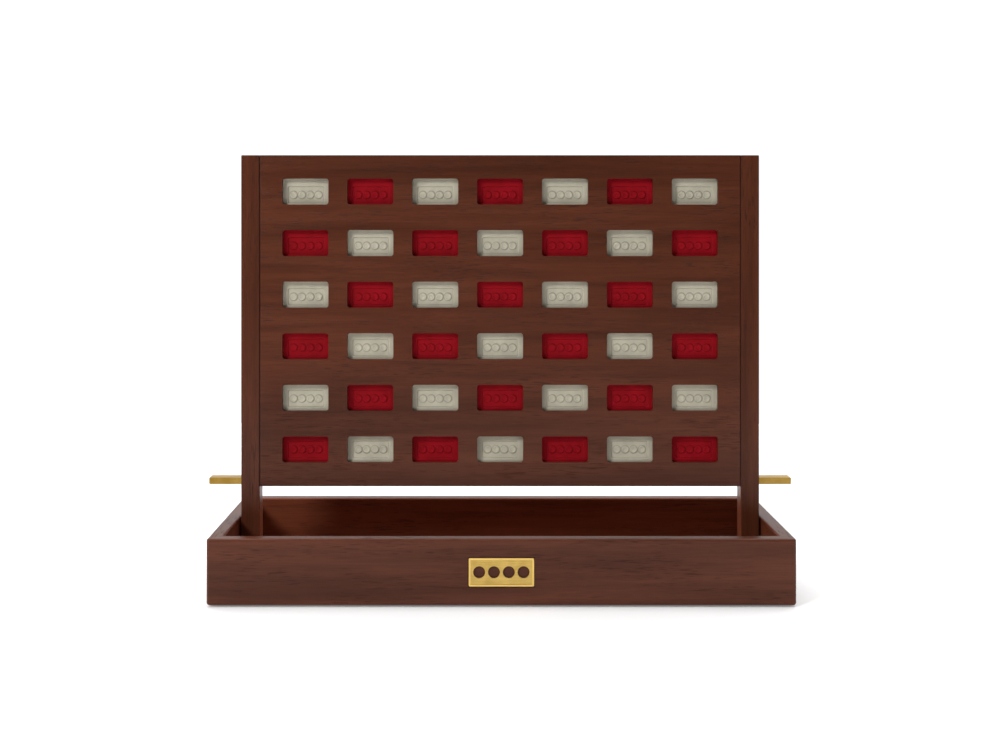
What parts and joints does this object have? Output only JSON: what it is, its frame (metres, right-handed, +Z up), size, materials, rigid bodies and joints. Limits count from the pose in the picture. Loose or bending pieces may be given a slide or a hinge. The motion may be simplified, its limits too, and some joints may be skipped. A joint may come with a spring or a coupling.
{
  "type": "four in a row frame",
  "caption": "Upright windowed game frame on two posts in an open wooden tray, holding light and red tiles, with a brass bar that slides sideways to drop them.",
  "frame": {"origin": "on the table, under the middle of the tray", "axes": "+X along the panel to the right, +Y to the back, +Z up; the name plate faces -Y"},
  "size_m": [0.3764, 0.13, 0.275],
  "materials": {
    "stained_wood": "satin",
    "dowel_wood": "matte",
    "brass": "satin",
    "steel": "satin",
    "felt": "matte",
    "cream_tile": "satin",
    "red_tile": "satin"
  },
  "bodies": {
    "frame": {"wall_front": "stained_wood", "wall_back": "stained_wood", "wall_left": "stained_wood", "wall_right": "stained_wood", "floor_panel": "stained_wood", "foot_pads": "felt", "name_plate": "brass", "post_left": "stained_wood", "post_right": "stained_wood", "panel_front": "stained_wood", "panel_back": "stained_wood", "dividers": "stained_wood", "spacer_left": "stained_wood", "spacer_right": "stained_wood", "post_dowels": "dowel_wood", "post_screws": "steel"},
    "bar": {"release_bar": "brass"},
    "tile_c1_r1": {"tile_c1_r1": "cream_tile"},
    "tile_c1_r2": {"tile_c1_r2": "red_tile"},
    "tile_c1_r3": {"tile_c1_r3": "cream_tile"},
    "tile_c1_r4": {"tile_c1_r4": "red_tile"},
    "tile_c1_r5": {"tile_c1_r5": "cream_tile"},
    "tile_c1_r6": {"tile_c1_r6": "red_tile"},
    "tile_c2_r1": {"tile_c2_r1": "red_tile"},
    "tile_c2_r2": {"tile_c2_r2": "cream_tile"},
    "tile_c2_r3": {"tile_c2_r3": "red_tile"},
    "tile_c2_r4": {"tile_c2_r4": "cream_tile"},
    "tile_c2_r5": {"tile_c2_r5": "red_tile"},
    "tile_c2_r6": {"tile_c2_r6": "cream_tile"},
    "tile_c3_r1": {"tile_c3_r1": "cream_tile"},
    "tile_c3_r2": {"tile_c3_r2": "red_tile"},
    "tile_c3_r3": {"tile_c3_r3": "cream_tile"},
    "tile_c3_r4": {"tile_c3_r4": "red_tile"},
    "tile_c3_r5": {"tile_c3_r5": "cream_tile"},
    "tile_c3_r6": {"tile_c3_r6": "red_tile"},
    "tile_c4_r1": {"tile_c4_r1": "red_tile"},
    "tile_c4_r2": {"tile_c4_r2": "cream_tile"},
    "tile_c4_r3": {"tile_c4_r3": "red_tile"},
    "tile_c4_r4": {"tile_c4_r4": "cream_tile"},
    "tile_c4_r5": {"tile_c4_r5": "red_tile"},
    "tile_c4_r6": {"tile_c4_r6": "cream_tile"},
    "tile_c5_r1": {"tile_c5_r1": "cream_tile"},
    "tile_c5_r2": {"tile_c5_r2": "red_tile"},
    "tile_c5_r3": {"tile_c5_r3": "cream_tile"},
    "tile_c5_r4": {"tile_c5_r4": "red_tile"},
    "tile_c5_r5": {"tile_c5_r5": "cream_tile"},
    "tile_c5_r6": {"tile_c5_r6": "red_tile"},
    "tile_c6_r1": {"tile_c6_r1": "red_tile"},
    "tile_c6_r2": {"tile_c6_r2": "cream_tile"},
    "tile_c6_r3": {"tile_c6_r3": "red_tile"},
    "tile_c6_r4": {"tile_c6_r4": "cream_tile"},
    "tile_c6_r5": {"tile_c6_r5": "red_tile"},
    "tile_c6_r6": {"tile_c6_r6": "cream_tile"},
    "tile_c7_r1": {"tile_c7_r1": "cream_tile"},
    "tile_c7_r2": {"tile_c7_r2": "red_tile"},
    "tile_c7_r3": {"tile_c7_r3": "cream_tile"},
    "tile_c7_r4": {"tile_c7_r4": "red_tile"},
    "tile_c7_r5": {"tile_c7_r5": "cream_tile"},
    "tile_c7_r6": {"tile_c7_r6": "red_tile"}
  },
  "joints": [
    {"name": "bar_slide", "type": "slide", "parent": "frame", "child": "bar", "axis": [1, 0, 0], "range_m": [-0.02095, 0.02095]},
    {"name": "tile_c1_r6_lift", "type": "slide", "parent": "frame", "child": "tile_c1_r6", "axis": [0, 0, 1], "range_m": [0, 0.2111]},
    {"name": "tile_c1_r5_lift", "type": "slide", "parent": "tile_c1_r6", "child": "tile_c1_r5", "axis": [0, 0, 1], "range_m": [0, 0.1781]},
    {"name": "tile_c1_r4_lift", "type": "slide", "parent": "tile_c1_r5", "child": "tile_c1_r4", "axis": [0, 0, 1], "range_m": [0, 0.1451]},
    {"name": "tile_c1_r3_lift", "type": "slide", "parent": "tile_c1_r4", "child": "tile_c1_r3", "axis": [0, 0, 1], "range_m": [0, 0.1121]},
    {"name": "tile_c1_r2_lift", "type": "slide", "parent": "tile_c1_r3", "child": "tile_c1_r2", "axis": [0, 0, 1], "range_m": [0, 0.0791]},
    {"name": "tile_c1_r1_lift", "type": "slide", "parent": "tile_c1_r2", "child": "tile_c1_r1", "axis": [0, 0, 1], "range_m": [0, 0.0461]},
    {"name": "tile_c2_r6_lift", "type": "slide", "parent": "frame", "child": "tile_c2_r6", "axis": [0, 0, 1], "range_m": [0, 0.2111]},
    {"name": "tile_c2_r5_lift", "type": "slide", "parent": "tile_c2_r6", "child": "tile_c2_r5", "axis": [0, 0, 1], "range_m": [0, 0.1781]},
    {"name": "tile_c2_r4_lift", "type": "slide", "parent": "tile_c2_r5", "child": "tile_c2_r4", "axis": [0, 0, 1], "range_m": [0, 0.1451]},
    {"name": "tile_c2_r3_lift", "type": "slide", "parent": "tile_c2_r4", "child": "tile_c2_r3", "axis": [0, 0, 1], "range_m": [0, 0.1121]},
    {"name": "tile_c2_r2_lift", "type": "slide", "parent": "tile_c2_r3", "child": "tile_c2_r2", "axis": [0, 0, 1], "range_m": [0, 0.0791]},
    {"name": "tile_c2_r1_lift", "type": "slide", "parent": "tile_c2_r2", "child": "tile_c2_r1", "axis": [0, 0, 1], "range_m": [0, 0.0461]},
    {"name": "tile_c3_r6_lift", "type": "slide", "parent": "frame", "child": "tile_c3_r6", "axis": [0, 0, 1], "range_m": [0, 0.2111]},
    {"name": "tile_c3_r5_lift", "type": "slide", "parent": "tile_c3_r6", "child": "tile_c3_r5", "axis": [0, 0, 1], "range_m": [0, 0.1781]},
    {"name": "tile_c3_r4_lift", "type": "slide", "parent": "tile_c3_r5", "child": "tile_c3_r4", "axis": [0, 0, 1], "range_m": [0, 0.1451]},
    {"name": "tile_c3_r3_lift", "type": "slide", "parent": "tile_c3_r4", "child": "tile_c3_r3", "axis": [0, 0, 1], "range_m": [0, 0.1121]},
    {"name": "tile_c3_r2_lift", "type": "slide", "parent": "tile_c3_r3", "child": "tile_c3_r2", "axis": [0, 0, 1], "range_m": [0, 0.0791]},
    {"name": "tile_c3_r1_lift", "type": "slide", "parent": "tile_c3_r2", "child": "tile_c3_r1", "axis": [0, 0, 1], "range_m": [0, 0.0461]},
    {"name": "tile_c4_r6_lift", "type": "slide", "parent": "frame", "child": "tile_c4_r6", "axis": [0, 0, 1], "range_m": [0, 0.2111]},
    {"name": "tile_c4_r5_lift", "type": "slide", "parent": "tile_c4_r6", "child": "tile_c4_r5", "axis": [0, 0, 1], "range_m": [0, 0.1781]},
    {"name": "tile_c4_r4_lift", "type": "slide", "parent": "tile_c4_r5", "child": "tile_c4_r4", "axis": [0, 0, 1], "range_m": [0, 0.1451]},
    {"name": "tile_c4_r3_lift", "type": "slide", "parent": "tile_c4_r4", "child": "tile_c4_r3", "axis": [0, 0, 1], "range_m": [0, 0.1121]},
    {"name": "tile_c4_r2_lift", "type": "slide", "parent": "tile_c4_r3", "child": "tile_c4_r2", "axis": [0, 0, 1], "range_m": [0, 0.0791]},
    {"name": "tile_c4_r1_lift", "type": "slide", "parent": "tile_c4_r2", "child": "tile_c4_r1", "axis": [0, 0, 1], "range_m": [0, 0.0461]},
    {"name": "tile_c5_r6_lift", "type": "slide", "parent": "frame", "child": "tile_c5_r6", "axis": [0, 0, 1], "range_m": [0, 0.2111]},
    {"name": "tile_c5_r5_lift", "type": "slide", "parent": "tile_c5_r6", "child": "tile_c5_r5", "axis": [0, 0, 1], "range_m": [0, 0.1781]},
    {"name": "tile_c5_r4_lift", "type": "slide", "parent": "tile_c5_r5", "child": "tile_c5_r4", "axis": [0, 0, 1], "range_m": [0, 0.1451]},
    {"name": "tile_c5_r3_lift", "type": "slide", "parent": "tile_c5_r4", "child": "tile_c5_r3", "axis": [0, 0, 1], "range_m": [0, 0.1121]},
    {"name": "tile_c5_r2_lift", "type": "slide", "parent": "tile_c5_r3", "child": "tile_c5_r2", "axis": [0, 0, 1], "range_m": [0, 0.0791]},
    {"name": "tile_c5_r1_lift", "type": "slide", "parent": "tile_c5_r2", "child": "tile_c5_r1", "axis": [0, 0, 1], "range_m": [0, 0.0461]},
    {"name": "tile_c6_r6_lift", "type": "slide", "parent": "frame", "child": "tile_c6_r6", "axis": [0, 0, 1], "range_m": [0, 0.2111]},
    {"name": "tile_c6_r5_lift", "type": "slide", "parent": "tile_c6_r6", "child": "tile_c6_r5", "axis": [0, 0, 1], "range_m": [0, 0.1781]},
    {"name": "tile_c6_r4_lift", "type": "slide", "parent": "tile_c6_r5", "child": "tile_c6_r4", "axis": [0, 0, 1], "range_m": [0, 0.1451]},
    {"name": "tile_c6_r3_lift", "type": "slide", "parent": "tile_c6_r4", "child": "tile_c6_r3", "axis": [0, 0, 1], "range_m": [0, 0.1121]},
    {"name": "tile_c6_r2_lift", "type": "slide", "parent": "tile_c6_r3", "child": "tile_c6_r2", "axis": [0, 0, 1], "range_m": [0, 0.0791]},
    {"name": "tile_c6_r1_lift", "type": "slide", "parent": "tile_c6_r2", "child": "tile_c6_r1", "axis": [0, 0, 1], "range_m": [0, 0.0461]},
    {"name": "tile_c7_r6_lift", "type": "slide", "parent": "frame", "child": "tile_c7_r6", "axis": [0, 0, 1], "range_m": [0, 0.2111]},
    {"name": "tile_c7_r5_lift", "type": "slide", "parent": "tile_c7_r6", "child": "tile_c7_r5", "axis": [0, 0, 1], "range_m": [0, 0.1781]},
    {"name": "tile_c7_r4_lift", "type": "slide", "parent": "tile_c7_r5", "child": "tile_c7_r4", "axis": [0, 0, 1], "range_m": [0, 0.1451]},
    {"name": "tile_c7_r3_lift", "type": "slide", "parent": "tile_c7_r4", "child": "tile_c7_r3", "axis": [0, 0, 1], "range_m": [0, 0.1121]},
    {"name": "tile_c7_r2_lift", "type": "slide", "parent": "tile_c7_r3", "child": "tile_c7_r2", "axis": [0, 0, 1], "range_m": [0, 0.0791]},
    {"name": "tile_c7_r1_lift", "type": "slide", "parent": "tile_c7_r2", "child": "tile_c7_r1", "axis": [0, 0, 1], "range_m": [0, 0.0461]}
  ]
}
